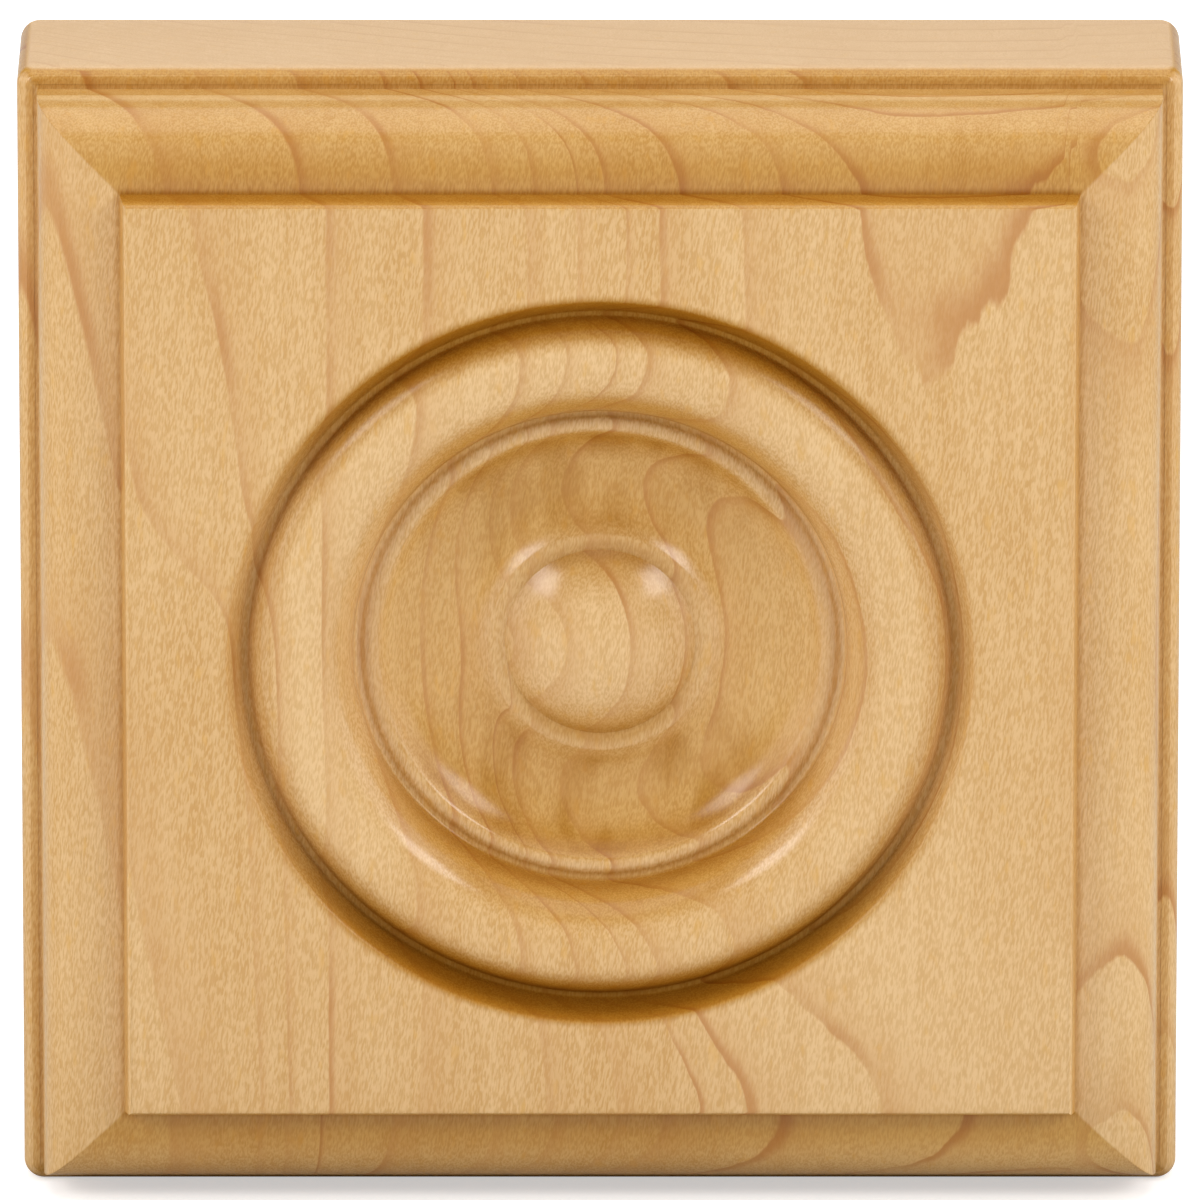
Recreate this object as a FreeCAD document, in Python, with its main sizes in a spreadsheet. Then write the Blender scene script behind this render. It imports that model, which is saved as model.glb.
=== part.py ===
import FreeCAD
import Part
import Sketcher
import math
import os

# Corner rosette block for door and window casing, cut from one piece of maple.
# It stands upright as it is fixed to the wall: +Z is up and the grain runs along Z, the plain
# back lies in the plane Y = 0 with its middle at the origin, and the carved face looks along -Y.

NODE = "rosette_block"

# Driving sizes in millimetres. Depths are measured back from the flat front panel, and runs
# across the face, from the outside of the block or of the rosette towards its middle.
SIZES = {
    "block_side": 88.9,
    "block_thickness": 25.4,
    "corner_radius": 1.5,
    "back_ease": 0.8,
    "rim_width": 1.6,
    "rim_ease": 0.45,
    "moulding_depth": 9.5,
    "step_height": 2.0,
    "side_radius": 9.0,
    "shoulder_radius": 0.5,
    "bead_width": 6.35,
    "bead_radius": 12.0,
    "quirk_depth": 2.2,
    "quirk_run": 0.4,
    "panel_ease": 0.3,
    "rosette_radius": 28.575,
    "groove_run": 1.125,
    "groove_depth": 2.1,
    "groove_floor_run": 0.6,
    "groove_floor_depth": 2.2,
    "ring_outer_run": 2.55,
    "ring_depth": 0.45,
    "ring_top_run": 2.1,
    "ring_top_depth": 0.68,
    "ring_inner_run": 3.35,
    "ring_inner_depth": 4.75,
    "valley_run": 0.65,
    "valley_depth": 5.1,
    "astragal_outer_run": 0.6,
    "astragal_depth": 4.85,
    "astragal_inner_run": 0.75,
    "astragal_inner_depth": 5.2,
    "cove_run": 8.15,
    "cove_sag": 1.1,
    "lip_outer_depth": 6.05,
    "lip_outer_run": 0.55,
    "lip_depth": 5.9,
    "lip_inner_run": 0.85,
    "button_groove_depth": 6.1,
    "button_depth": 3.6,
}

POLAR_COPIES = 4
TOLERANCE = 0.001

START = 1
END = 2
CENTRE = 3
ORIGIN = (-1, 1)
AXIS_LINE = -1

doc = FreeCAD.newDocument("corner_rosette_block")
sheet = doc.addObject("Spreadsheet::Sheet", "sizes")
for row, (alias, value) in enumerate(SIZES.items(), start=1):
    sheet.set(f"A{row}", alias)
    sheet.set(f"B{row}", str(value))
    sheet.setAlias(f"B{row}", alias)
doc.recompute()


def size(alias):
    return float(sheet.get(alias))


body = doc.addObject("PartDesign::Body", NODE)
body.Label = NODE


def origin_feature(role):
    return next(item for item in body.Origin.OriginFeatures if item.Role == role)


def new_sketch(name, plane):
    sketch = body.newObject("Sketcher::SketchObject", name)
    sketch.AttachmentSupport = [(origin_feature(plane), "")]
    sketch.MapMode = "FlatFace"
    return sketch


def dimension(sketch, kind, places, value, expression):
    """A size on a sketch, bound to the sheet by an expression on its aliases."""
    index = sketch.addConstraint(Sketcher.Constraint(kind, *places, value))
    sketch.setExpression(f"Constraints[{index}]", expression)


def across(sketch, first, second, expression):
    """Distance along the depth of the block from one sketch point to the next."""
    value = sketch.getPoint(*second).x - sketch.getPoint(*first).x
    dimension(sketch, "DistanceX", (*first, *second), value, expression)


def along(sketch, first, second, expression):
    """Distance over the face of the block from one sketch point to the next."""
    value = sketch.getPoint(*second).y - sketch.getPoint(*first).y
    dimension(sketch, "DistanceY", (*first, *second), value, expression)


def end_near(sketch, piece, point):
    """The end of a sketch line or arc that lies at a point."""
    starts_there = (sketch.getPoint(piece, START) - point).Length < TOLERANCE
    return (piece, START if starts_there else END)


def join(sketch, pieces, corners):
    """Joins lines and arcs, each to the next, at the corners between them."""
    for index, corner in enumerate(corners):
        first = end_near(sketch, pieces[index], corner)
        second = end_near(sketch, pieces[(index + 1) % len(pieces)], corner)
        sketch.addConstraint(Sketcher.Constraint("Coincident", *first, *second))


def level(sketch, first, second):
    """Two sketch points at the same place across the face."""
    sketch.addConstraint(Sketcher.Constraint("Horizontal", *first, *second))


def arc_about(centre, first, second):
    """Arc round a centre, by the short way, between two points at one distance from it."""
    middle = (first + second) * 0.5 - centre
    middle.normalize()
    return Part.Arc(first, centre + middle * (first - centre).Length, second)


def rise_radius(run, rise):
    """Radius of an arc that starts level and rises by a height over a run."""
    return (run * run + rise * rise) / (2.0 * rise)


def ease(name, base, edges, radius):
    """Rounds some edges of the block, given by their places in the base feature's shape."""
    fillet = body.newObject("PartDesign::Fillet", name)
    fillet.Base = (base, [f"Edge{index + 1}" for index in edges])
    fillet.setExpression("Radius", f"sizes.{radius}")
    body.Tip = fillet
    doc.recompute()
    return fillet


def edges_where(feature, test):
    """Places of the edges whose two ends both pass a test on their position."""
    edges = enumerate(feature.Shape.Edges)
    return [index for index, edge in edges if all(test(vertex.Point) for vertex in edge.Vertexes)]


def close_to(value, target):
    return abs(value - target) < TOLERANCE


# The square blank, sawn to length and width, with its four standing corners rounded.
half = size("block_side") / 2
thickness = size("block_thickness")
blank_sketch = new_sketch("blank_outline", "XZ_Plane")
blank_corners = [
    FreeCAD.Vector(-half, -half, 0),
    FreeCAD.Vector(half, -half, 0),
    FreeCAD.Vector(half, half, 0),
    FreeCAD.Vector(-half, half, 0),
]
blank_sides = [
    blank_sketch.addGeometry(Part.LineSegment(corner, blank_corners[(index + 1) % 4]))
    for index, corner in enumerate(blank_corners)
]
join(blank_sketch, blank_sides, blank_corners[1:] + blank_corners[:1])
for side, direction in zip(blank_sides, ("Horizontal", "Vertical", "Horizontal", "Vertical")):
    blank_sketch.addConstraint(Sketcher.Constraint(direction, side))
opposite_corners = (blank_sides[0], START, blank_sides[2], START, *ORIGIN)
blank_sketch.addConstraint(Sketcher.Constraint("Symmetric", *opposite_corners))
across(blank_sketch, (blank_sides[0], START), (blank_sides[0], END), "sizes.block_side")
along(blank_sketch, (blank_sides[1], START), (blank_sides[1], END), "sizes.block_side")

blank = body.newObject("PartDesign::Pad", "blank")
blank.Profile = blank_sketch
blank.setExpression("Length", "sizes.block_thickness")
doc.recompute()


def stands_at_corner(point):
    return close_to(abs(point.x), half) and close_to(abs(point.z), half)


standing = [
    index
    for index in edges_where(blank, stands_at_corner)
    if close_to(blank.Shape.Edges[index].Length, thickness)
]
rounded_blank = ease("rounded_corners", blank, standing, "corner_radius")

# The moulded edge, shaped along all four sides and mitred at the corners: a thin flat rim, a step
# up to a steep side, a sharp shoulder and a broad round that ends level, in a quirk against the
# raised panel.
# The outline of the waste over the top edge lies in the middle plane of the block.
edge_sketch = new_sketch("edge_waste", "YZ_Plane")


def edge_point(depth, inset):
    return FreeCAD.Vector(depth - thickness, half - inset, 0)


rim_depth = size("moulding_depth")
rim_width = size("rim_width")
wall_depth = rim_depth - size("step_height")
quirk_inset = rim_width + size("bead_width")
panel_inset = quirk_inset + size("quirk_run")
side_radius = size("side_radius")
shoulder_radius = size("shoulder_radius")
bead_radius = size("bead_radius")

side_centre = edge_point(wall_depth, rim_width + side_radius)
bead_centre = edge_point(size("quirk_depth") + bead_radius, quirk_inset)
# The shoulder lies inside both rounds and touches each of them.
between = bead_centre - side_centre
side_reach = side_radius - shoulder_radius
bead_reach = bead_radius - shoulder_radius
shift = (side_reach**2 - bead_reach**2 + between.Length**2) / (2 * between.Length)
lift = math.sqrt(side_reach**2 - shift**2)
between.normalize()
forward = FreeCAD.Vector(-between.y, between.x, 0)
if forward.x > 0:
    forward = forward * -1
shoulder_centre = side_centre + between * shift + forward * lift
to_side = (shoulder_centre - side_centre).normalize()
to_bead = (shoulder_centre - bead_centre).normalize()

rim_outside = edge_point(rim_depth, -rim_width)
rim_inside = edge_point(rim_depth, rim_width)
wall_top = edge_point(wall_depth, rim_width)
shoulder_start = shoulder_centre + to_side * shoulder_radius
shoulder_end = shoulder_centre + to_bead * shoulder_radius
quirk = edge_point(size("quirk_depth"), quirk_inset)
panel_edge = edge_point(0, panel_inset)
panel_front = edge_point(-rim_width, panel_inset)
outer_front = edge_point(-rim_width, -rim_width)

rim_line = edge_sketch.addGeometry(Part.LineSegment(rim_outside, rim_inside))
wall_line = edge_sketch.addGeometry(Part.LineSegment(rim_inside, wall_top))
side_arc = edge_sketch.addGeometry(arc_about(side_centre, wall_top, shoulder_start))
shoulder_arc = edge_sketch.addGeometry(arc_about(shoulder_centre, shoulder_start, shoulder_end))
bead_arc = edge_sketch.addGeometry(arc_about(bead_centre, shoulder_end, quirk))
quirk_line = edge_sketch.addGeometry(Part.LineSegment(quirk, panel_edge))
panel_line = edge_sketch.addGeometry(Part.LineSegment(panel_edge, panel_front))
front_line = edge_sketch.addGeometry(Part.LineSegment(panel_front, outer_front))
outer_line = edge_sketch.addGeometry(Part.LineSegment(outer_front, rim_outside))
join(edge_sketch, [rim_line, wall_line], [rim_inside])
join(edge_sketch, [bead_arc, quirk_line, panel_line, front_line], [quirk, panel_edge, panel_front])
join(edge_sketch, [front_line, outer_line, rim_line], [outer_front, rim_outside])
smooth_joints = (
    (wall_line, side_arc, wall_top),
    (side_arc, shoulder_arc, shoulder_start),
    (shoulder_arc, bead_arc, shoulder_end),
)
for first, second, place in smooth_joints:
    meeting = (*end_near(edge_sketch, first, place), *end_near(edge_sketch, second, place))
    edge_sketch.addConstraint(Sketcher.Constraint("Tangent", *meeting))
for line in (rim_line, front_line):
    edge_sketch.addConstraint(Sketcher.Constraint("Vertical", line))
for line in (wall_line, panel_line, outer_line):
    edge_sketch.addConstraint(Sketcher.Constraint("Horizontal", line))

rim_inside_end = end_near(edge_sketch, rim_line, rim_inside)
rim_outside_end = end_near(edge_sketch, rim_line, rim_outside)
wall_top_end = end_near(edge_sketch, wall_line, wall_top)
quirk_end = end_near(edge_sketch, quirk_line, quirk)
panel_end = end_near(edge_sketch, quirk_line, panel_edge)
panel_front_end = end_near(edge_sketch, panel_line, panel_front)
across(edge_sketch, panel_end, ORIGIN, "sizes.block_thickness")
across(edge_sketch, panel_end, rim_inside_end, "sizes.moulding_depth")
across(edge_sketch, wall_top_end, rim_inside_end, "sizes.step_height")
across(edge_sketch, panel_end, quirk_end, "sizes.quirk_depth")
level(edge_sketch, quirk_end, (bead_arc, CENTRE))
across(edge_sketch, panel_front_end, panel_end, "sizes.rim_width")
along(edge_sketch, ORIGIN, rim_inside_end, "sizes.block_side / 2 - sizes.rim_width")
along(edge_sketch, rim_inside_end, rim_outside_end, "2 * sizes.rim_width")
along(edge_sketch, quirk_end, rim_inside_end, "sizes.bead_width")
along(edge_sketch, panel_end, quirk_end, "sizes.quirk_run")
dimension(edge_sketch, "Radius", (side_arc,), side_radius, "sizes.side_radius")
dimension(edge_sketch, "Radius", (shoulder_arc,), shoulder_radius, "sizes.shoulder_radius")
dimension(edge_sketch, "Radius", (bead_arc,), bead_radius, "sizes.bead_radius")
doc.recompute()

edge_cut = body.newObject("PartDesign::Pocket", "moulded_edge")
edge_cut.Profile = edge_sketch
edge_cut.Type = "ThroughAll"
edge_cut.SideType = "Symmetric"
doc.recompute()
moulded = body.newObject("PartDesign::PolarPattern", "moulded_edges")
moulded.Originals = [edge_cut]
moulded.Axis = (origin_feature("Y_Axis"), [""])
moulded.Angle = 360
moulded.Occurrences = POLAR_COPIES
body.Tip = moulded
doc.recompute()

# The rosette, turned into the panel: a narrow groove, a full rounded ring, a small astragal, a
# deep round cove with a soft lip at its inside, and a domed button.
# The outline of the waste is half the section through the middle of the block.
turned_sketch = new_sketch("turned_waste", "YZ_Plane")


def turned_point(depth, radius):
    return FreeCAD.Vector(depth - thickness, radius, 0)


def hollow(outer, inner, sag):
    """Part of a round hollow between two points, with its floor a sag below the inner one."""
    run = outer.y - inner.y
    outer_rise = inner.x + sag - outer.x
    square = sag - outer_rise
    half_slope = outer_rise * run
    spread = half_slope**2 + square * outer_rise * (run**2 + sag * square)
    outer_run = (-half_slope + math.sqrt(spread)) / square
    radius = rise_radius(outer_run, outer_rise)
    centre = FreeCAD.Vector(inner.x + sag - radius, outer.y - outer_run, 0)
    floor = FreeCAD.Vector(inner.x + sag, centre.y, 0)
    return Part.Arc(outer, floor, inner), floor


def step_in(outer, run, depth):
    """The next corner of the outline, a run nearer the middle and at its own depth."""
    return turned_point(size(depth), outer.y - size(run))


panel_circle = turned_point(0, size("rosette_radius"))
groove_outer = step_in(panel_circle, "groove_run", "groove_depth")
groove_inner = step_in(groove_outer, "groove_floor_run", "groove_floor_depth")
ring_crest = step_in(groove_inner, "ring_outer_run", "ring_depth")
ring_shoulder = step_in(ring_crest, "ring_top_run", "ring_top_depth")
ring_foot = step_in(ring_shoulder, "ring_inner_run", "ring_inner_depth")
valley_inner = step_in(ring_foot, "valley_run", "valley_depth")
astragal_crest = step_in(valley_inner, "astragal_outer_run", "astragal_depth")
astragal_foot = step_in(astragal_crest, "astragal_inner_run", "astragal_inner_depth")
lip_foot = step_in(astragal_foot, "cove_run", "lip_outer_depth")
lip_crest = step_in(lip_foot, "lip_outer_run", "lip_depth")
button_groove = step_in(lip_crest, "lip_inner_run", "button_groove_depth")
button_crest = turned_point(size("button_depth"), 0)
axis_front = turned_point(-size("groove_depth"), 0)
circle_front = turned_point(-size("groove_depth"), size("rosette_radius"))


def round_from_crest(crest, foot):
    """Arc that is level at a crest and falls away to its foot."""
    radius = rise_radius(crest.y - foot.y, foot.x - crest.x)
    return arc_about(crest + FreeCAD.Vector(radius, 0, 0), crest, foot)


def round_on(crest, start, end):
    """Arc that carries on smoothly, to an end, from one that fell from a crest to its start."""
    radius = rise_radius(crest.y - start.y, start.x - crest.x)
    inward = (crest + FreeCAD.Vector(radius, 0, 0) - start).normalize()
    chord = end - start
    return arc_about(start + inward * (chord.dot(chord) / (2 * chord.dot(inward))), start, end)


cove_curve, cove_floor = hollow(astragal_foot, lip_foot, size("cove_sag"))
front = turned_sketch.addGeometry(Part.LineSegment(axis_front, circle_front))
circle = turned_sketch.addGeometry(Part.LineSegment(circle_front, panel_circle))
wall = turned_sketch.addGeometry(Part.LineSegment(panel_circle, groove_outer))
groove = turned_sketch.addGeometry(Part.LineSegment(groove_outer, groove_inner))
ring_outer = turned_sketch.addGeometry(round_from_crest(ring_crest, groove_inner))
ring_top = turned_sketch.addGeometry(round_from_crest(ring_crest, ring_shoulder))
ring_inner = turned_sketch.addGeometry(round_on(ring_crest, ring_shoulder, ring_foot))
valley = turned_sketch.addGeometry(Part.LineSegment(ring_foot, valley_inner))
astragal_outer = turned_sketch.addGeometry(round_from_crest(astragal_crest, valley_inner))
astragal_inner = turned_sketch.addGeometry(round_from_crest(astragal_crest, astragal_foot))
cove = turned_sketch.addGeometry(cove_curve)
lip_outer = turned_sketch.addGeometry(round_from_crest(lip_crest, lip_foot))
lip_inner = turned_sketch.addGeometry(round_from_crest(lip_crest, button_groove))
button = turned_sketch.addGeometry(round_from_crest(button_crest, button_groove))
axis = turned_sketch.addGeometry(Part.LineSegment(button_crest, axis_front))

join(
    turned_sketch,
    [front, circle, wall, groove, ring_outer, ring_top],
    [circle_front, panel_circle, groove_outer, groove_inner, ring_crest],
)
join(
    turned_sketch,
    [ring_inner, valley, astragal_outer, astragal_inner, cove, lip_outer, lip_inner],
    [ring_foot, valley_inner, astragal_crest, astragal_foot, lip_foot, lip_crest],
)
join(turned_sketch, [lip_inner, button, axis, front], [button_groove, button_crest, axis_front])
shoulder_joint = (
    *end_near(turned_sketch, ring_top, ring_shoulder),
    *end_near(turned_sketch, ring_inner, ring_shoulder),
)
turned_sketch.addConstraint(Sketcher.Constraint("Tangent", *shoulder_joint))
turned_sketch.addConstraint(Sketcher.Constraint("Vertical", front))
turned_sketch.addConstraint(Sketcher.Constraint("Horizontal", circle))
on_axis = ((axis, START), (axis, END), (button, CENTRE))
for piece, place in on_axis:
    turned_sketch.addConstraint(Sketcher.Constraint("PointOnObject", piece, place, AXIS_LINE))
rounds_and_crests = (
    (ring_outer, ring_crest),
    (ring_top, ring_crest),
    (astragal_outer, astragal_crest),
    (astragal_inner, astragal_crest),
    (lip_outer, lip_crest),
    (lip_inner, lip_crest),
)
for arc, crest in rounds_and_crests:
    level(turned_sketch, end_near(turned_sketch, arc, crest), (arc, CENTRE))
lowest = turned_sketch.addGeometry(Part.Point(cove_floor), True)
turned_sketch.addConstraint(Sketcher.Constraint("PointOnObject", lowest, START, cove))
level(turned_sketch, (lowest, START), (cove, CENTRE))
across(turned_sketch, end_near(turned_sketch, cove, lip_foot), (lowest, START), "sizes.cove_sag")

circle_end = end_near(turned_sketch, wall, panel_circle)
circle_front_end = end_near(turned_sketch, circle, circle_front)
across(turned_sketch, circle_end, ORIGIN, "sizes.block_thickness")
across(turned_sketch, circle_front_end, circle_end, "sizes.groove_depth")
along(turned_sketch, ORIGIN, circle_end, "sizes.rosette_radius")
turned_steps = (
    (wall, groove_outer, "groove_run", "groove_depth"),
    (groove, groove_inner, "groove_floor_run", "groove_floor_depth"),
    (ring_outer, ring_crest, "ring_outer_run", "ring_depth"),
    (ring_top, ring_shoulder, "ring_top_run", "ring_top_depth"),
    (ring_inner, ring_foot, "ring_inner_run", "ring_inner_depth"),
    (valley, valley_inner, "valley_run", "valley_depth"),
    (astragal_outer, astragal_crest, "astragal_outer_run", "astragal_depth"),
    (astragal_inner, astragal_foot, "astragal_inner_run", "astragal_inner_depth"),
    (cove, lip_foot, "cove_run", "lip_outer_depth"),
    (lip_outer, lip_crest, "lip_outer_run", "lip_depth"),
    (lip_inner, button_groove, "lip_inner_run", "button_groove_depth"),
)
outer_end = circle_end
for piece, place, run, depth in turned_steps:
    inner_end = end_near(turned_sketch, piece, place)
    along(turned_sketch, inner_end, outer_end, f"sizes.{run}")
    across(turned_sketch, circle_end, inner_end, f"sizes.{depth}")
    outer_end = inner_end
button_end = end_near(turned_sketch, button, button_crest)
across(turned_sketch, circle_end, button_end, "sizes.button_depth")
doc.recompute()

rosette = body.newObject("PartDesign::Groove", "turned_rosette")
rosette.Profile = turned_sketch
rosette.ReferenceAxis = (turned_sketch, ["H_Axis"])
rosette.Angle = 360
body.Tip = rosette
doc.recompute()


# The sharp edges are taken off with fine paper: the back, the outside of the rim and the outline
# of the panel.
def on_rim_outline(point):
    at_rim = close_to(point.y, rim_depth - thickness)
    return at_rim and max(abs(point.x), abs(point.z)) > half - rim_width


def on_back(point):
    return close_to(point.y, 0)


def on_panel_outline(point):
    reach = max(abs(point.x), abs(point.z))
    return close_to(point.y, -thickness) and close_to(reach, half - panel_inset)


eased = ease("eased_back", rosette, edges_where(rosette, on_back), "back_ease")
eased = ease("eased_rim", eased, edges_where(eased, on_rim_outline), "rim_ease")
eased = ease("eased_panel", eased, edges_where(eased, on_panel_outline), "panel_ease")

# Each cut has to take wood away, and the finished block has to be one sound solid.
failed = [item.Name for item in doc.Objects if "Invalid" in item.State or "Error" in item.State]
if failed:
    raise RuntimeError(f"features that failed: {failed}")
if not blank.Shape.Volume > edge_cut.Shape.Volume > moulded.Shape.Volume > rosette.Shape.Volume:
    raise RuntimeError("a cut took no wood away")
shape = body.Shape
if shape.isNull() or not shape.isValid() or len(shape.Solids) != 1:
    raise RuntimeError("the block is not one valid solid")

os.makedirs("parts", exist_ok=True)
shape.exportStep(f"parts/{NODE}.step")
print(f"{NODE}: {shape.Volume / 1000:.2f} cm3, button radius {button_groove.y:.2f} mm")
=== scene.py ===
import math

import bmesh
import bpy
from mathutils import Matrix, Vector


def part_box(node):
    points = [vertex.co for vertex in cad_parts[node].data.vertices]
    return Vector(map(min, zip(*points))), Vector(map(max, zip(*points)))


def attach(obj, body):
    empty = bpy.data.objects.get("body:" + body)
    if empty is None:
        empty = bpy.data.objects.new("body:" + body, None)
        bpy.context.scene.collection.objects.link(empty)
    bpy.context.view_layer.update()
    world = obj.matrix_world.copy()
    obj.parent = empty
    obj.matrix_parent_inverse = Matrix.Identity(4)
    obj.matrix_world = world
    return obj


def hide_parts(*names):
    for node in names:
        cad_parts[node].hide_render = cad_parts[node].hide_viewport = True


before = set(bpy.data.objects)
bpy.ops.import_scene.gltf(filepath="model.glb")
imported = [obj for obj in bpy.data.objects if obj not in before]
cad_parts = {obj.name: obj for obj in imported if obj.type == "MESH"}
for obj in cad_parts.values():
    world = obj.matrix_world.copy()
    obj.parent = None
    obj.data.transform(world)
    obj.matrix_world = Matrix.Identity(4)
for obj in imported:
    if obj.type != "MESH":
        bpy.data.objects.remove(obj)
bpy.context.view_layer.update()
MM = 0.001

# The block itself is one square of hard maple, sawn to size with the grain upright.
# Its back is plain, and the corners and the outer edges are rounded over a little with fine paper.
low, high = (Vector(corner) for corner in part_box("rosette_block"))
half_side = high.x
thickness = high.y - low.y
moulding_depth = 9.5 * MM
rim_plane = moulding_depth - thickness
corner_radius = 1.5 * MM
back_ease = 0.8 * MM
rim_ease = 0.45 * MM
CORNER_SEGMENTS = 10
EASE_SEGMENTS = 4
TOUCH = 1e-6


def pick(test):
    """Selects the edges whose two ends both pass a test on their place, and nothing else."""
    mesh = bpy.context.object.data
    bpy.ops.mesh.select_all(action="DESELECT")
    shape = bmesh.from_edit_mesh(mesh)
    for edge in shape.edges:
        if all(test(vertex.co) for vertex in edge.verts):
            edge.select_set(True)
    bmesh.update_edit_mesh(mesh)


def near(value, target):
    return abs(value - target) < TOUCH


def ease(test, offset, segments=EASE_SEGMENTS):
    """Rounds over the edges that pass a test."""
    pick(test)
    bpy.ops.mesh.bevel(offset=offset, offset_type="OFFSET", segments=segments, affect="EDGES")


def at_corner(place):
    return near(abs(place.x), half_side) and near(abs(place.z), half_side)


def on_back(place):
    return near(place.y, 0)


def on_rim(place):
    return near(place.y, rim_plane)


bpy.ops.object.select_all(action="DESELECT")
bpy.ops.mesh.primitive_plane_add(size=2 * half_side, rotation=(math.pi / 2, 0, 0))
bpy.ops.object.transform_apply(location=True, rotation=True, scale=True)
block = bpy.context.object
block.name = "carved_block"
bpy.ops.object.mode_set(mode="EDIT")
bpy.ops.mesh.select_mode(type="EDGE")
bpy.ops.mesh.select_all(action="SELECT")
bpy.ops.mesh.extrude_region_move()
bpy.ops.transform.translate(value=(0, rim_plane, 0))
ease(at_corner, corner_radius, CORNER_SEGMENTS)
ease(on_back, back_ease)
ease(on_rim, rim_ease)
pick(on_rim)
bpy.ops.mesh.delete(type="ONLY_FACE")

# The edge is moulded on all four sides and mitred at the corners: a thin flat rim, a step up to a
# steep side, a soft shoulder, and a broad round that ends in a quirk against the raised panel.
rim_width = 1.6 * MM
step_height = 2.0 * MM
side_radius = 9.0 * MM
bead_width = 6.35 * MM
bead_radius = 12.0 * MM
quirk_depth = 2.2 * MM
quirk_run = 0.4 * MM
shoulder_round = 4.0 * MM
panel_ease = 0.3 * MM
panel_margin = 0.6 * MM
MOULDING_STEPS = 16


def arc(centre, start, end, steps):
    """Points of an arc after its start, by the short way round."""
    first = start - centre
    last = end - centre
    turn = first.angle_signed(last)
    points = []
    for step in range(1, steps + 1):
        angle = turn * step / steps
        cosine, sine = math.cos(angle), math.sin(-angle)
        spoke = Vector((first.x * cosine - first.y * sine, first.x * sine + first.y * cosine))
        points.append(centre + spoke)
    return points


def crossing(first_centre, first_radius, second_centre, second_radius):
    """The place nearest the front where two circles cross."""
    apart = second_centre - first_centre
    shift = (first_radius**2 - second_radius**2 + apart.length_squared) / (2 * apart.length)
    lift = math.sqrt(first_radius**2 - shift**2)
    along = apart.normalized()
    sideways = Vector((-along.y, along.x))
    places = [first_centre + along * shift + sideways * side * lift for side in (-1, 1)]
    return min(places, key=lambda place: place.y)


def carry_on(places):
    """Extrudes the selected ring on through a row of places; each is a distance out and a depth."""
    for before, after in zip(places, places[1:]):
        bpy.ops.mesh.extrude_region_move()
        bpy.ops.transform.translate(value=(0, after.y - before.y, 0))
        scale = after.x / before.x
        bpy.ops.transform.resize(value=(scale, 1, scale), center_override=(0, 0, 0))


quirk_inset = rim_width + bead_width
panel_reach = half_side - quirk_inset - quirk_run
rim_inside = Vector((half_side - rim_width, moulding_depth))
wall_top = Vector((half_side - rim_width, moulding_depth - step_height))
side_centre = wall_top - Vector((side_radius, 0))
quirk = Vector((half_side - quirk_inset, quirk_depth))
bead_centre = quirk + Vector((0, bead_radius))
round_centre = crossing(
    side_centre, side_radius - shoulder_round, bead_centre, bead_radius - shoulder_round
)
side_end = side_centre + (round_centre - side_centre).normalized() * side_radius
bead_start = bead_centre + (round_centre - bead_centre).normalized() * bead_radius
moulding = [rim_inside, wall_top]
moulding += arc(side_centre, wall_top, side_end, MOULDING_STEPS)
moulding += arc(round_centre, side_end, bead_start, MOULDING_STEPS)
moulding += arc(bead_centre, bead_start, quirk, MOULDING_STEPS)
moulding += [Vector((panel_reach, 0)), Vector((panel_reach - panel_margin, 0))]


def on_square(reach, depth):
    """Test for places on a square ring that lies round the face at a depth."""

    def test(place):
        square = max(abs(place.x), abs(place.z))
        return near(place.y, depth - thickness) and near(square, reach)

    return test


def on_mitre(place):
    in_moulding = place.y < rim_plane + TOUCH and abs(place.x) > panel_reach - TOUCH
    return in_moulding and near(abs(place.x), abs(place.z))


bpy.ops.mesh.primitive_plane_add(
    size=2 * rim_inside.x, location=(0, rim_plane, 0), rotation=(math.pi / 2, 0, 0)
)
bpy.ops.mesh.delete(type="ONLY_FACE")
pick(on_square(rim_inside.x, moulding_depth))
carry_on(moulding)
ease(on_square(panel_reach, 0), panel_ease)
pick(on_mitre)
bpy.ops.mesh.mark_sharp()

# The rosette is turned into the panel with a shaped cutter: a narrow groove, a full rounded ring, a
# small astragal, a deep round cove with a soft lip at its inside, and a domed button at the middle.
rosette_radius = 28.575 * MM
circle_ease = 0.3 * MM
groove_run = 1.125 * MM
groove_depth = 2.1 * MM
groove_floor_run = 0.6 * MM
groove_floor_depth = 2.2 * MM
groove_sag = 0.14 * MM
ring_outer_run = 2.55 * MM
ring_depth = 0.45 * MM
ring_top_run = 2.1 * MM
ring_top_depth = 0.68 * MM
ring_inner_run = 3.35 * MM
ring_inner_depth = 4.75 * MM
valley_run = 0.65 * MM
valley_depth = 5.0 * MM
valley_sag = 0.08 * MM
astragal_outer_run = 0.6 * MM
astragal_depth = 4.85 * MM
astragal_inner_run = 0.75 * MM
astragal_inner_depth = 5.2 * MM
cove_run = 8.15 * MM
cove_sag = 1.1 * MM
lip_outer_depth = 6.05 * MM
lip_outer_run = 0.55 * MM
lip_depth = 5.9 * MM
lip_inner_run = 0.85 * MM
button_groove_depth = 6.1 * MM
button_depth = 3.6 * MM
TURNED_STEPS = 16
SMALL_STEPS = 6
CIRCLE_STEPS = 256
SHARP_FROM = math.radians(32)


def fall_from_crest(crest, foot, steps):
    """Arc that is level at a crest and falls away to its foot; its points after the crest."""
    run = abs(crest.x - foot.x)
    drop = foot.y - crest.y
    radius = (run**2 + drop**2) / (2 * drop)
    return arc(crest + Vector((0, radius)), crest, foot, steps)


def climb_to_crest(foot, crest, steps):
    """The same arc, taken from its foot up to the crest."""
    points = fall_from_crest(crest, foot, steps)
    return points[-2::-1] + [crest]


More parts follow.
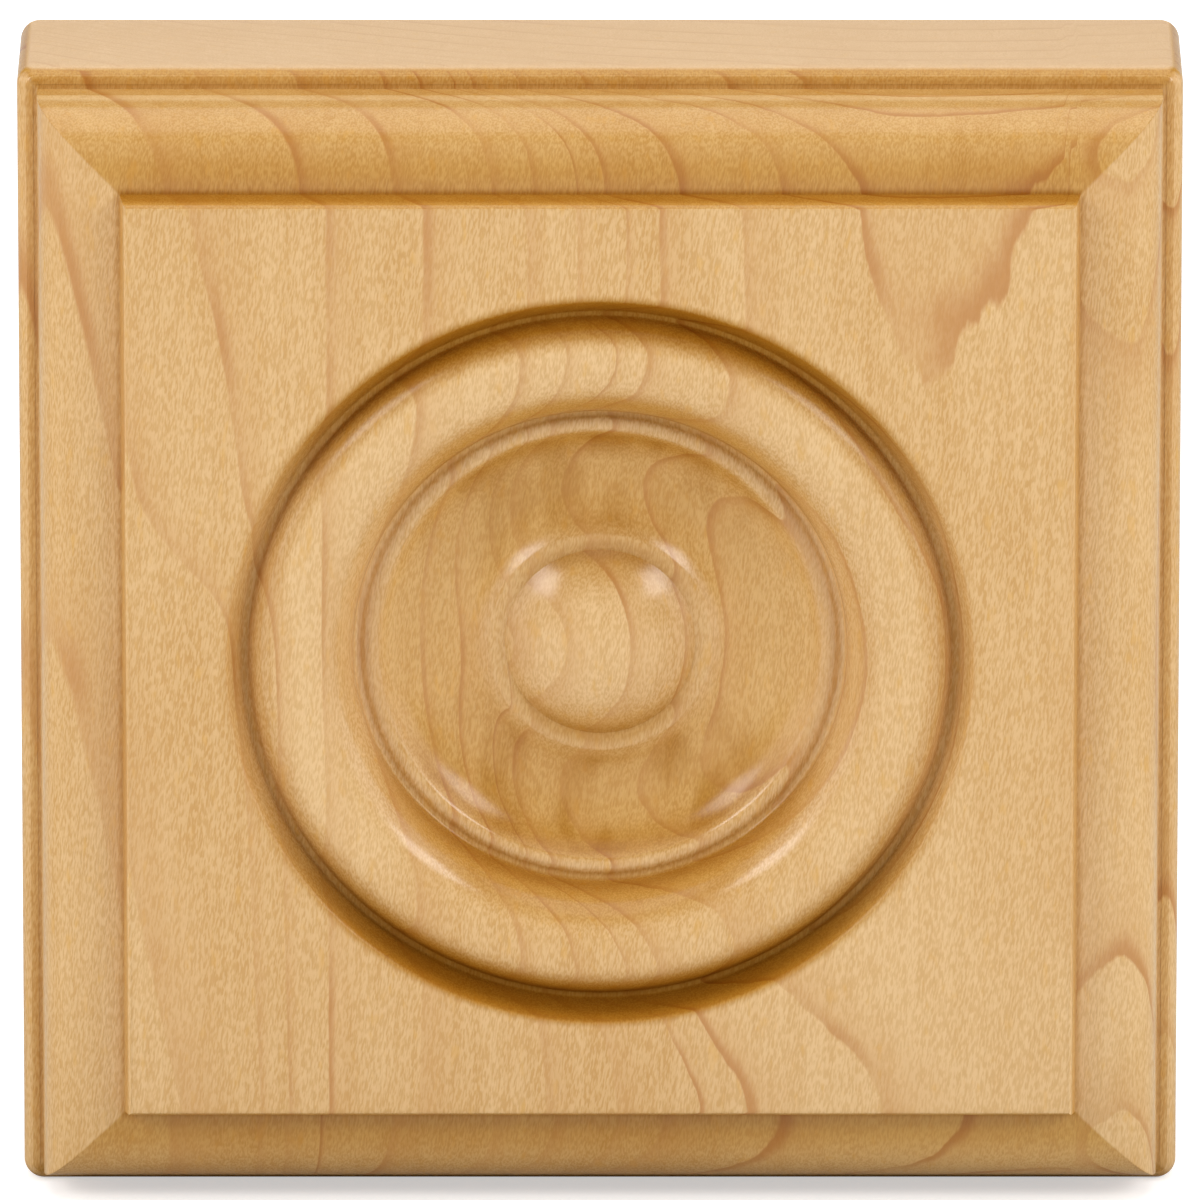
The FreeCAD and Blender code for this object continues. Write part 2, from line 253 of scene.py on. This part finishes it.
def bend_on(crest, start, end, steps):
    """Arc that carries on smoothly, on to an end, from one that fell from a crest to this start."""
    across_start = Vector((start.x - crest.x, 0))
    drop = start.y - crest.y
    radius = (across_start.length_squared + drop**2) / (2 * drop)
    inward = (crest + Vector((0, radius)) - start).normalized()
    chord = end - start
    return arc(start + inward * chord.length_squared / (2 * chord.dot(inward)), start, end, steps)


def hollow(outer, inner, sag, steps):
    """Points after the outer one of a round hollow whose floor lies a sag below the inner one."""
    run = outer.x - inner.x
    rise = inner.y + sag - outer.y
    # Both ends lie on one circle, and that gives the run from the outer end to the middle of the floor.
    square = sag - rise
    half_slope = rise * run
    outer_run = (-half_slope + math.sqrt(half_slope**2 + square * rise * (run**2 + sag * square))) / square
    radius = (outer_run**2 + rise**2) / (2 * rise)
    return arc(Vector((outer.x - outer_run, inner.y + sag - radius)), outer, inner, steps)


circle = Vector((rosette_radius, 0))
groove = Vector((circle.x - groove_run, groove_depth))
groove_inner = Vector((groove.x - groove_floor_run, groove_floor_depth))
ring_crest = Vector((groove_inner.x - ring_outer_run, ring_depth))
ring_shoulder = Vector((ring_crest.x - ring_top_run, ring_top_depth))
ring_foot = Vector((ring_shoulder.x - ring_inner_run, ring_inner_depth))
valley = Vector((ring_foot.x - valley_run, valley_depth))
astragal = Vector((valley.x - astragal_outer_run, astragal_depth))
astragal_foot = Vector((astragal.x - astragal_inner_run, astragal_inner_depth))
lip_foot = Vector((astragal_foot.x - cove_run, lip_outer_depth))
lip = Vector((lip_foot.x - lip_outer_run, lip_depth))
button_groove = Vector((lip.x - lip_inner_run, button_groove_depth))
button = Vector((0, button_depth))
turned = [circle + Vector((panel_margin, 0)), circle, groove]
turned += hollow(groove, groove_inner, groove_sag, SMALL_STEPS)
turned += climb_to_crest(groove_inner, ring_crest, TURNED_STEPS)
turned += fall_from_crest(ring_crest, ring_shoulder, SMALL_STEPS)
turned += bend_on(ring_crest, ring_shoulder, ring_foot, TURNED_STEPS)
turned += hollow(ring_foot, valley, valley_sag, SMALL_STEPS)
turned += climb_to_crest(valley, astragal, SMALL_STEPS)
turned += fall_from_crest(astragal, astragal_foot, SMALL_STEPS)
turned += hollow(astragal_foot, lip_foot, cove_sag, 2 * TURNED_STEPS)
turned += climb_to_crest(lip_foot, lip, SMALL_STEPS)
turned += fall_from_crest(lip, button_groove, SMALL_STEPS)
turned += climb_to_crest(button_groove, button, TURNED_STEPS)[:-1]


def on_turned(place_on_outline):
    """Test for places on the circle that a point of the turned outline makes."""

    def test(place):
        at_depth = near(place.y, place_on_outline.y - thickness)
        return at_depth and near(math.hypot(place.x, place.z), place_on_outline.x)

    return test


bpy.ops.mesh.primitive_circle_add(
    vertices=CIRCLE_STEPS,
    radius=turned[0].x,
    location=(0, -thickness, 0),
    rotation=(math.pi / 2, 0, 0),
)
pick(on_turned(turned[0]))
carry_on(turned)
bpy.ops.mesh.extrude_region_move()
bpy.ops.transform.translate(value=(0, button.y - turned[-1].y, 0))
bpy.ops.mesh.merge(type="CENTER")
ease(on_turned(circle), circle_ease)


def pick_open_edges(plane):
    """Selects the edges in a plane of the face that have only one face beside them."""
    mesh = bpy.context.object.data
    bpy.ops.mesh.select_all(action="DESELECT")
    shape = bmesh.from_edit_mesh(mesh)
    for edge in shape.edges:
        if edge.is_boundary and all(near(vertex.co.y, plane) for vertex in edge.verts):
            edge.select_set(True)
    bmesh.update_edit_mesh(mesh)


for plane in (rim_plane, -thickness):
    pick_open_edges(plane)
    bpy.ops.mesh.fill(use_beauty=True)
bpy.ops.mesh.select_all(action="SELECT")
bpy.ops.mesh.remove_doubles(threshold=TOUCH)
bpy.ops.mesh.normals_make_consistent(inside=False)
bpy.ops.object.mode_set(mode="OBJECT")
bpy.ops.object.shade_smooth_by_angle(angle=SHARP_FROM)

# The wood is flat-sawn hard maple under a clear satin varnish. The heart of the tree lies behind the
# face, so growth lines run up the panel and follow the relief. Sizes in the material are millimetres.
METRES_TO_MM = 1000


class Value:
    """A number in a node tree: arithmetic on it adds Math nodes."""

    def __init__(self, finish, socket):
        self.finish = finish
        self.socket = socket

    def math(self, operation, *others):
        return self.finish.add("ShaderNodeMath", {"operation": operation}, dict(enumerate((self, *others))))

    def __add__(self, other):
        return self.math("ADD", other)

    def __radd__(self, other):
        return self + other

    def __sub__(self, other):
        return self.math("SUBTRACT", other)

    def __rsub__(self, other):
        return self.finish.add("ShaderNodeMath", {"operation": "SUBTRACT"}, {0: other, 1: self})

    def __mul__(self, other):
        return self.math("MULTIPLY", other)

    def __rmul__(self, other):
        return self * other

    def __truediv__(self, other):
        return self.math("DIVIDE", other)

    def __abs__(self):
        return self.math("ABSOLUTE")

    def at_least(self, other):
        return self.math("MAXIMUM", other)

    def rise(self, start, end, top=1.0):
        """0 below a start and its top value above an end, with a smooth rise between them."""
        settings = {"interpolation_type": "SMOOTHSTEP"}
        values = {"Value": self, "From Min": start, "From Max": end, "To Max": top}
        return self.finish.add("ShaderNodeMapRange", settings, values)

    def between(self, low_edge, low, high, high_edge):
        """1 from a low to a high value, falling to 0 at an edge below and an edge above."""
        return self.rise(low_edge, low) * self.rise(high_edge, high)

    def around(self, middle, full, gone):
        """1 within a full distance of a middle, falling to 0 at the distance where it is gone."""
        return abs(self - middle).rise(gone, full)


class Finish:
    """A material, or the world, under construction."""

    def __init__(self, tree):
        self.tree = tree
        self.tree.nodes.clear()

    def add(self, kind, settings=None, values=None, output=0):
        """Adds a node with its settings and the values or links of its sockets."""
        node = self.tree.nodes.new(kind)
        for name, setting in (settings or {}).items():
            if name == "stops":
                self.set_stops(node.color_ramp.elements, setting)
            else:
                setattr(node, name, setting)
        for name, value in (values or {}).items():
            if isinstance(value, Value):
                self.tree.links.new(value.socket, node.inputs[name])
            else:
                node.inputs[name].default_value = value
        return Value(self, node.outputs[output]) if node.outputs else None

    def set_stops(self, elements, stops):
        """Gives a colour ramp its stops, each a position and a colour."""
        while len(elements) < len(stops):
            elements.new(1.0)
        for element, (position, colour) in zip(elements, stops):
            element.position = position
            element.color = colour

    def mix(self, share, first, second, blend="MIX"):
        """Blends two colours by a share of the second."""
        settings = {"data_type": "RGBA", "blend_type": blend}
        return self.add("ShaderNodeMix", settings, {0: share, 6: first, 7: second}, output=2)

    def stretched(self, place, scale):
        """A place scaled by its own factor along each axis."""
        return self.add("ShaderNodeVectorMath", {"operation": "MULTIPLY"}, {0: place, 1: scale})

    def noise(self, place, detail, roughness=0.5):
        values = {"Vector": place, "Scale": 1.0, "Detail": detail, "Roughness": roughness}
        return self.add("ShaderNodeTexNoise", None, values)

    def grain(self, place, across_grain, along_grain, detail, roughness=0.5):
        """Noise with so many waves to the millimetre across the upright grain and along it."""
        waves = self.stretched(place, (across_grain, across_grain, along_grain))
        return self.noise(waves, detail, roughness)


varnished_maple = bpy.data.materials.new("varnished_maple")
varnished_maple.use_nodes = True
maple = Finish(varnished_maple.node_tree)
metres = maple.add("ShaderNodeTexCoord", output="Object")
place = maple.stretched(metres, (METRES_TO_MM, METRES_TO_MM, METRES_TO_MM))
across, forward, up = (maple.add("ShaderNodeSeparateXYZ", None, {0: place}, output) for output in range(3))
outward = maple.add("ShaderNodeTexCoord", output="Normal")
upward = maple.add("ShaderNodeSeparateXYZ", None, {0: outward}, "Z")

# Where a place lies: its depth behind the panel, how far out it is on the square of the face and on
# the circle of the rosette, and whether it is on the sawn top or bottom. Behind the moulding, where
# nothing is carved, both distances are moved away from all that is carved.
SIDE = half_side / MM
PANEL = panel_reach / MM
UNCARVED_DEPTHS = (moulding_depth / MM + 0.2, moulding_depth / MM + 0.7)
FAR_OUT = 4 * SIDE
SAWN_END = (SIDE - 0.35, SIDE - 0.1)
depth = forward + thickness / MM
uncarved = depth.rise(*UNCARVED_DEPTHS)
square_reach = abs(across).at_least(abs(up)) * (1 - uncarved)
reach = (across * across + up * up).math("SQRT") + uncarved * FAR_OUT
end_face = abs(up).rise(*SAWN_END)
not_end = 1 - end_face

# Growth rings, counted in millimetres out from the ring that just touches the panel. They waver,
# lean over at the lower right, slant at the left and make a flame at the upper right of the panel.
HEART_ACROSS = 25.0
HEART_BEHIND = 102.0
RINGS_IN_DEPTH = 0.4
RINGS_IN_END = 0.6
NOISE_MIDDLE = 0.5
WAVER = 0.45
WAVER_GRAIN = (0.06, 0.03, 2.0)
FINE_WAVER = 0.16
FINE_WAVER_GRAIN = (0.6, 0.16, 3.0)
RIGHT_BEAD = (PANEL + 0.1, PANEL + 0.5)
BEAD_BEND = 0.0015
LEAN = 11.5
LEAN_HEIGHTS = (-18, -36)
LEAN_ACROSS = (-12, 28)
SLANT = 0.12
SLANT_TOP = 36
SLANT_ACROSS = (-20, -30)
SLANT_STEP = 3.5
STEP_HEIGHTS = (14, 0)
FLAME_BEND = 0.00042
FLAME_STEP = 0.3
FLAME_ACROSS = (8, 24, PANEL - 0.9, PANEL - 0.3)
FLAME_HEIGHTS = (4, 14)
waver = maple.grain(place, *WAVER_GRAIN) - NOISE_MIDDLE
fine_waver = maple.grain(place, *FINE_WAVER_GRAIN) - NOISE_MIDDLE
on_right_bead = across.rise(*RIGHT_BEAD)
lean = LEAN * up.rise(*LEAN_HEIGHTS) * across.rise(*LEAN_ACROSS) * (1 - on_right_bead)
slant = (SLANT * (SLANT_TOP - up) + SLANT_STEP * up.rise(*STEP_HEIGHTS)) * across.rise(*SLANT_ACROSS)
flame = (FLAME_BEND * up * up + FLAME_STEP) * across.between(*FLAME_ACROSS) * up.rise(*FLAME_HEIGHTS)
from_heart = across - HEART_ACROSS - lean
ring = from_heart * from_heart / (2 * HEART_BEHIND)
ring = ring - depth * (RINGS_IN_DEPTH + RINGS_IN_END * end_face)
ring = ring + slant - flame + BEAD_BEND * up * up * on_right_bead
ring = ring + WAVER * waver + FINE_WAVER * fine_waver

GROWTH_LINES = (-26, -22, -18.5, -15.5, -13, -10.5, -8, -6.3, -5.2, -3.9, -2.7, -1.4, -0.52, 0.95)
GROWTH_LINES += (2.1, 2.6, 3.5, 4.5, 7.3, 10.4, 15.6, 20.5, 28, 40)
first_line = GROWTH_LINES[0]
all_growth = GROWTH_LINES[-1] - first_line
years = len(GROWTH_LINES) - 1
stops = []
for year, growth_line in enumerate(GROWTH_LINES):
    share = year / years
    stops.append(((growth_line - first_line) / all_growth, (share, share, share, 1)))
age = maple.add("ShaderNodeValToRGB", {"stops": stops}, {"Fac": (ring - first_line) / all_growth})
into_year = (age * years).math("FRACT")

# Each year darkens toward the line that ends it. The lines fade in and out, and some are fainter at
# the left of the panel, below the rosette and in its dish and ring.
LINE_SPAN = (0.84, 0.97, 0.98, 1.0)
BAND_SPAN = (0.5, 1.0)
FAINTEST_LINE = 0.15
FADING_GRAIN = (0.11, 0.07, 2.0)
FADING_RANGE = (0.36, 0.62)
FADED_BELOW = 0.8
BELOW_HEIGHTS = (-16, -26)
BELOW_ACROSS = (5, 2)
STRONG_BELOW = (-20, 2, 5)
FADED_LEFT = 0.75
LEFT_HEIGHTS = (-28, -22, 20, 26)
LEFT_ACROSS = (-17, -23)
STRONG_LEFT = (6, 6, 12)
FADED_DISH = 0.2
DISH_ZONE = (7, 8, 16.2, 17.2)
FADED_RING = 0.35
RING_ZONE = (17, 18, 26, 27)
fading = maple.grain(place, *FADING_GRAIN).rise(*FADING_RANGE)
below = up.rise(*BELOW_HEIGHTS) * across.rise(*BELOW_ACROSS) * (1 - across.around(*STRONG_BELOW))
left = up.between(*LEFT_HEIGHTS) * across.rise(*LEFT_ACROSS) * (1 - up.around(*STRONG_LEFT))
faded = (FADED_BELOW * below).at_least(FADED_LEFT * left)
faded = faded.at_least(FADED_DISH * reach.between(*DISH_ZONE))
faded = faded.at_least(FADED_RING * reach.between(*RING_ZONE))
lines = into_year.between(*LINE_SPAN) * (FAINTEST_LINE + (1 - FAINTEST_LINE) * fading) * (1 - faded)
bands = into_year.rise(*BAND_SPAN)

# Wood cut across the grain drinks the varnish and turns darker: the moulding at the top and bottom and the
# upper and lower walls of the rosette.
# It is made less dark on the moulding's outer half and at the foot of its upper side, a painted highlight.
MITRE_BLEND = (-0.2, 0.2)
CROSS_CUT = (0.26, 0.75)
MOULDED = (PANEL - 0.2, PANEL + 0.2)
OUTER_HALF = (38, 41)
OUTER_HALF_LESS = 0.45
FOOT_DEPTHS = (6.0, 6.8, 7.5, 7.7)
FOOT_REACH = (41, 42)
PALE_FOOT_HEIGHTS = (0, 10)
lies_across = (abs(up) - abs(across)).rise(*MITRE_BLEND)
side_foot_highlight = depth.between(*FOOT_DEPTHS) * square_reach.rise(*FOOT_REACH) * not_end
soaked = abs(upward).rise(*CROSS_CUT).at_least(square_reach.rise(*MOULDED) * lies_across) * not_end
# The outer half of the moulding and the foot of its upper side are made less dark here: a painted
# highlight.
soaked = soaked * (1 - OUTER_HALF_LESS * lies_across * square_reach.rise(*OUTER_HALF))
soaked = soaked * (1 - side_foot_highlight * up.rise(*PALE_FOOT_HEIGHTS))

# Painted shade darkens the groove, the quirk, the valley, the cove, round the button and the rim, with
# varnish gathered there too, more where they run across the grain and more in the lower cove. The varnish
# is dull there and on the sawn ends. Each darkening has a share where it runs along the grain and one where
# it runs across.
CROSS_TURNED = (0.25, 0.95)
GROOVE_ZONE = (24.5, 26.5, 28.5, 29.3)
GROOVE_DARKENING = (0.15, 0.9)
QUIRK_ZONE = (36.4, 0.1, 0.7)
QUIRK_DEPTHS = (0.2, 1.2)
QUIRK_DARKENING = (0.45, 0.7)
RIM_ZONE = (42.6, 43.2, 43.4, 44.2)
RIM_DARKENING = 0.5
VALLEY_ZONE = (18.6, 0.3, 0.9)
VALLEY_DARKENING = (0.0, 0.6)
BUTTON_FOOT = (7.5, 0.2, 1.4)
BUTTON_DARKENING = (0.2, 0.6)
COVE_ZONE = (8.8, 9.8, 16.4, 17.0)
COVE_DARKENING = (0.06, 0.66)
LOWER_COVE = (0, -12)
LOWER_COVE_MORE = 0.5
BLOTCH_GRAIN = (0.24, 0.10, 2.0, 0.6)
BLOTCH_RANGE = (0.38, 0.62)
LEAST_BLOTCH = 0.35
FLOOR_ZONE = (27.4, 0.5, 1.2)
FLOOR_SHADE = 0.2
LOWER_FLOOR = (20, -20)
LOWER_FLOOR_SHADE = 0.7
DULL_FLOOR = (27.2, 0.6, 1.0)
DULL_RIM = (42.4, 43.0)
DULL_ENDS = 0.8
DULL_COVE = 0.3


def shade_and_varnish(zone, runs_across, along_grain, across_grain):
    """Painted shade and varnish held in a zone: one share where it runs along the grain and one where it
    runs across.
    """
    return zone * (along_grain + runs_across * (across_grain - along_grain))


turned_across = (abs(up) / reach).rise(*CROSS_TURNED)
in_quirk = square_reach.around(*QUIRK_ZONE) * depth.rise(*QUIRK_DEPTHS)
in_cove = reach.between(*COVE_ZONE)
corner_shade_and_varnish = shade_and_varnish(reach.between(*GROOVE_ZONE), turned_across, *GROOVE_DARKENING)
corner_shade_and_varnish = corner_shade_and_varnish.at_least(shade_and_varnish(in_quirk, lies_across, *QUIRK_DARKENING))
corner_shade_and_varnish = corner_shade_and_varnish.at_least(RIM_DARKENING * square_reach.between(*RIM_ZONE) * not_end)
corner_shade_and_varnish = corner_shade_and_varnish.at_least(shade_and_varnish(reach.around(*VALLEY_ZONE), turned_across, *VALLEY_DARKENING))
blotches = maple.grain(place, *BLOTCH_GRAIN).rise(*BLOTCH_RANGE)
cove_across = turned_across * (1 + LOWER_COVE_MORE * up.rise(*LOWER_COVE))
cove_shade_and_varnish = shade_and_varnish(in_cove, cove_across, *COVE_DARKENING) * (LEAST_BLOTCH + (1 - LEAST_BLOTCH) * blotches)
recess_shade_and_varnish = corner_shade_and_varnish.at_least(shade_and_varnish(reach.around(*BUTTON_FOOT), turned_across, *BUTTON_DARKENING))
recess_shade_and_varnish = recess_shade_and_varnish.at_least(cove_shade_and_varnish)
# The groove floor is darkened as painted shade, more at the bottom.
lower_floor = turned_across * up.rise(*LOWER_FLOOR)
groove_floor_shade = reach.around(*FLOOR_ZONE) * (FLOOR_SHADE + LOWER_FLOOR_SHADE * lower_floor)
dull = corner_shade_and_varnish.at_least(reach.around(*DULL_FLOOR)).at_least(DULL_COVE * in_cove * turned_across)
dull = dull.at_least(DULL_ENDS * square_reach.rise(*DULL_RIM) * lies_across).at_least(DULL_ENDS * end_face)

# The button and the crest of the ring, except low down, are made paler, and a painted highlight makes the
# foot of the moulding's side paler; the lower right of the panel is pale wood. Fine flecks lie along the
# grain, which leans a little, with golden spots, broader streaks and clouds.
PALER_BUTTON = (6.5, 3.5)
PALER_RING_CREST = (20.3, 21.5, 24.6, 25.4)
PALER_RING_HEIGHTS = (-24, -12)
CREST_PALER = 0.25
PALE_HEIGHTS = (-4, -30)
PALE_ACROSS = (0, 24)
CORNER_PALER = 0.3
FLECK_SIZE = (0.13, 0.13, 0.6)
FLECK_LEAN = (0, math.radians(8), 0)
FLECK_NOISE = (1.0, 0.4)
FLECK_RANGE = (0.34, 0.66)
CLOUD_GRAIN = (0.10, 0.04, 3.0, 0.55)
STREAK_GRAIN = (0.9, 0.05, 3.0, 0.6)
BROAD_RANGE = (0.3, 0.7)
GOLDEN_GRAIN = (1.1, 0.4, 2.0)
GOLDEN_RANGE = (0.6, 0.74)
LEAST_TONE = 0.06
FLECK_TONE = 0.52
CLOUD_TONE = 0.22
STREAK_TONE = 0.2
# The foot of the moulding's side is made paler as a painted highlight.
paler_crests_and_foot_highlight = reach.rise(*PALER_BUTTON).at_least(reach.between(*PALER_RING_CREST) * up.rise(*PALER_RING_HEIGHTS))
paler_crests_and_foot_highlight = paler_crests_and_foot_highlight.at_least(side_foot_highlight)
paler = (CREST_PALER * paler_crests_and_foot_highlight).at_least(CORNER_PALER * up.rise(*PALE_HEIGHTS) * across.rise(*PALE_ACROSS))
leaning = {"Vector": place, "Rotation": FLECK_LEAN, "Scale": FLECK_SIZE}
flecks = maple.noise(maple.add("ShaderNodeMapping", {"vector_type": "TEXTURE"}, leaning), *FLECK_NOISE)
clouds = maple.grain(place, *CLOUD_GRAIN).rise(*BROAD_RANGE)
streaks = maple.grain(place, *STREAK_GRAIN).rise(*BROAD_RANGE)
golden = maple.grain(place, *GOLDEN_GRAIN).rise(*GOLDEN_RANGE)
tone = LEAST_TONE + FLECK_TONE * flecks.rise(*FLECK_RANGE) + CLOUD_TONE * clouds + STREAK_TONE * streaks

# The colours, from pale wood to the darkest varnish and painted shade, and the varnish over them.
PALE = (0.82, 0.55, 0.265, 1)
WARM = (0.62, 0.335, 0.095, 1)
GOLDEN = (0.74, 0.41, 0.10, 1)
GOLDEN_SHARE = 0.5
BAND = (0.66, 0.36, 0.13, 1)
BAND_SHARE = 0.38
LINE = (0.54, 0.235, 0.06, 1)
LINE_SHARE = 0.78
END_GRAIN_AND_SHEEN = (0.76, 0.56, 0.38, 1)
END_SHEEN_SHARE = 0.6
SOAKED = (0.80, 0.67, 0.34, 1)
COVE_SHADE_TINT = (1.0, 0.96, 0.78, 1)
RECESS_SHADE_AND_VARNISH = (0.64, 0.48, 0.13, 1)
GROOVE_FLOOR_SHADE = (0.60, 0.54, 0.44, 1)
WOOD_ROUGHNESS = 0.8
VARNISH_ROUGHNESS = 0.2
VARNISH_IOR = 1.5
GRAIN_HEIGHT = 0.1 * MM
GRAIN_STRENGTH = 0.6
colour = maple.mix((tone - paler).at_least(0.0), PALE, WARM)
colour = maple.mix(golden * GOLDEN_SHARE, colour, GOLDEN)
colour = maple.mix(bands * BAND_SHARE, colour, BAND)
colour = maple.mix(lines * LINE_SHARE, colour, LINE)
# The sawn ends are end grain with a painted sheen in their pale colour.
colour = maple.mix(end_face * END_SHEEN_SHARE, colour, END_GRAIN_AND_SHEEN)
colour = maple.mix(soaked, colour, SOAKED, "MULTIPLY")
# The cove is tinted yellower and deeper as painted shade.
colour = maple.mix(in_cove, colour, COVE_SHADE_TINT, "MULTIPLY")
# Painted shade, with some gathered varnish, darkens the recesses here.
colour = maple.mix(recess_shade_and_varnish, colour, RECESS_SHADE_AND_VARNISH, "MULTIPLY")
colour = maple.mix(groove_floor_shade, colour, GROOVE_FLOOR_SHADE, "MULTIPLY")
grain_relief = {"Strength": GRAIN_STRENGTH, "Distance": GRAIN_HEIGHT, "Height": flecks}
surface = maple.add(
    "ShaderNodeBsdfPrincipled",
    None,
    {
        "Base Color": colour,
        "Roughness": WOOD_ROUGHNESS,
        "Specular IOR Level": 0.0,
        "Coat Weight": 1 - dull,
        "Coat Roughness": VARNISH_ROUGHNESS,
        "Coat IOR": VARNISH_IOR,
        "Normal": maple.add("ShaderNodeBump", None, grain_relief),
    },
)
maple.add("ShaderNodeOutputMaterial", None, {"Surface": surface})
block.data.materials.append(varnished_maple)
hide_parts("rosette_block")
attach(block, "root")

# A plain white studio table stands under the block. It throws light back up on the block, and close by it
# is painted darker for that light, a painted shade under the block. It shows white to the camera, with the
# block's soft shadow on it.
TABLE_SIZE = 4.0
NEAR_TABLE = 0.02
FAR_TABLE = 0.06
BLACK = (0, 0, 0, 1)
WHITE = (1, 1, 1, 1)
NEAR_BLOCK_SHADE = (0.57, 0.57, 0.57, 1)
LIT_WHITE = (0.85, 0.85, 0.85, 1)
SEEN_WHITE = (0.92, 0.92, 0.92, 1)
SEEN_GLOW = 0.5
bpy.ops.object.select_all(action="DESELECT")
bpy.ops.mesh.primitive_plane_add(size=TABLE_SIZE, location=(0, 0, low.z))
bpy.ops.object.transform_apply(location=True, rotation=True, scale=True)
table = bpy.context.object
table.name = "studio_table"
white_table = bpy.data.materials.new("white_table")
white_table.use_nodes = True
white = Finish(white_table.node_tree)
seen = white.add("ShaderNodeLightPath", output="Is Camera Ray")
table_place = white.add("ShaderNodeTexCoord", output="Object")
backward = white.add("ShaderNodeSeparateXYZ", None, {0: table_place}, "Y")
# Close to the block the light thrown back is painted darker, a painted shade under the block.
beyond_painted_shade = (backward * -1).rise(NEAR_TABLE, FAR_TABLE)
bounce = white.mix(beyond_painted_shade, NEAR_BLOCK_SHADE, LIT_WHITE)
table_surface = white.add(
    "ShaderNodeBsdfPrincipled",
    None,
    {
        "Base Color": white.mix(seen, bounce, SEEN_WHITE),
        "Roughness": 1.0,
        "Specular IOR Level": 0.0,
        "Emission Color": white.mix(seen, BLACK, WHITE),
        "Emission Strength": SEEN_GLOW,
    },
)
white.add("ShaderNodeOutputMaterial", None, {"Surface": table_surface})
table.data.materials.append(white_table)

# Two soft boxes stand in front, to the left and right, a little above the block. They make the small
# lights on the button, the lip and the ring.
BOX_DIRECTION = Vector((0.640, -0.597, 0.485))
BOX_DISTANCE = 0.7
BOX_SIZE = 0.22
BOX_POWER = 1.1
middle = Vector((0, rim_plane / 2, 0))
for name, side in (("left_box", -1), ("right_box", 1)):
    lamp = bpy.data.lights.new(name, "AREA")
    lamp.shape = "SQUARE"
    lamp.size = BOX_SIZE
    lamp.energy = BOX_POWER
    box = bpy.data.objects.new(name, lamp)
    bpy.context.collection.objects.link(box)
    direction = Vector((side * BOX_DIRECTION.x, BOX_DIRECTION.y, BOX_DIRECTION.z))
    box.location = middle + direction.normalized() * BOX_DISTANCE
    box.rotation_euler = direction.to_track_quat("Z", "Y").to_euler()

# White sheets hang overhead and at both sides, leaning over a little, with dimmer ones in front and
# behind. The camera sees plain white past them.
SIDE_SHEETS = 2.12
TOP_SHEET = 1.97
END_SHEETS = 0.68
SIDE_FACE = 0.966
SIDE_LEAN = 0.25
SHEET_EDGE = math.cos(math.radians(42))
SHEET_FULL = math.cos(math.radians(26))
world = bpy.data.worlds.new("studio")
bpy.context.scene.world = world
world.use_nodes = True
tent = Finish(world.node_tree)
heading = tent.add("ShaderNodeTexCoord")
aside, ahead, above = (tent.add("ShaderNodeSeparateXYZ", None, {0: heading}, output) for output in range(3))
seen = tent.add("ShaderNodeLightPath", output="Is Camera Ray")
to_side = abs(aside) * SIDE_FACE + above * SIDE_LEAN
glow = seen.at_least(to_side.rise(SHEET_EDGE, SHEET_FULL, SIDE_SHEETS))
glow = glow.at_least(above.rise(SHEET_EDGE, SHEET_FULL, TOP_SHEET))
glow = glow.at_least(abs(ahead).rise(SHEET_EDGE, SHEET_FULL, END_SHEETS))
sheet = tent.add("ShaderNodeBackground", None, {"Strength": glow})
tent.add("ShaderNodeOutputWorld", None, {"Surface": sheet})

# The camera stands in front of the block and looks down on it a little, through a long lens, so that
# the sides of the block hardly draw together.
camera_tilt = math.radians(16.2)
camera_distance = 1.8
framed_width = 92.4 * MM
lens = bpy.data.cameras.new("camera")
lens.sensor_width = 36.0
lens.lens = lens.sensor_width * camera_distance / framed_width
camera = bpy.data.objects.new("camera", lens)
bpy.context.collection.objects.link(camera)
camera.location = middle + Vector((0, -math.cos(camera_tilt), math.sin(camera_tilt))) * camera_distance
camera.rotation_euler = (math.pi / 2 - camera_tilt, 0, 0)
scene = bpy.context.scene
scene.camera = camera
scene.view_settings.view_transform = "Standard"
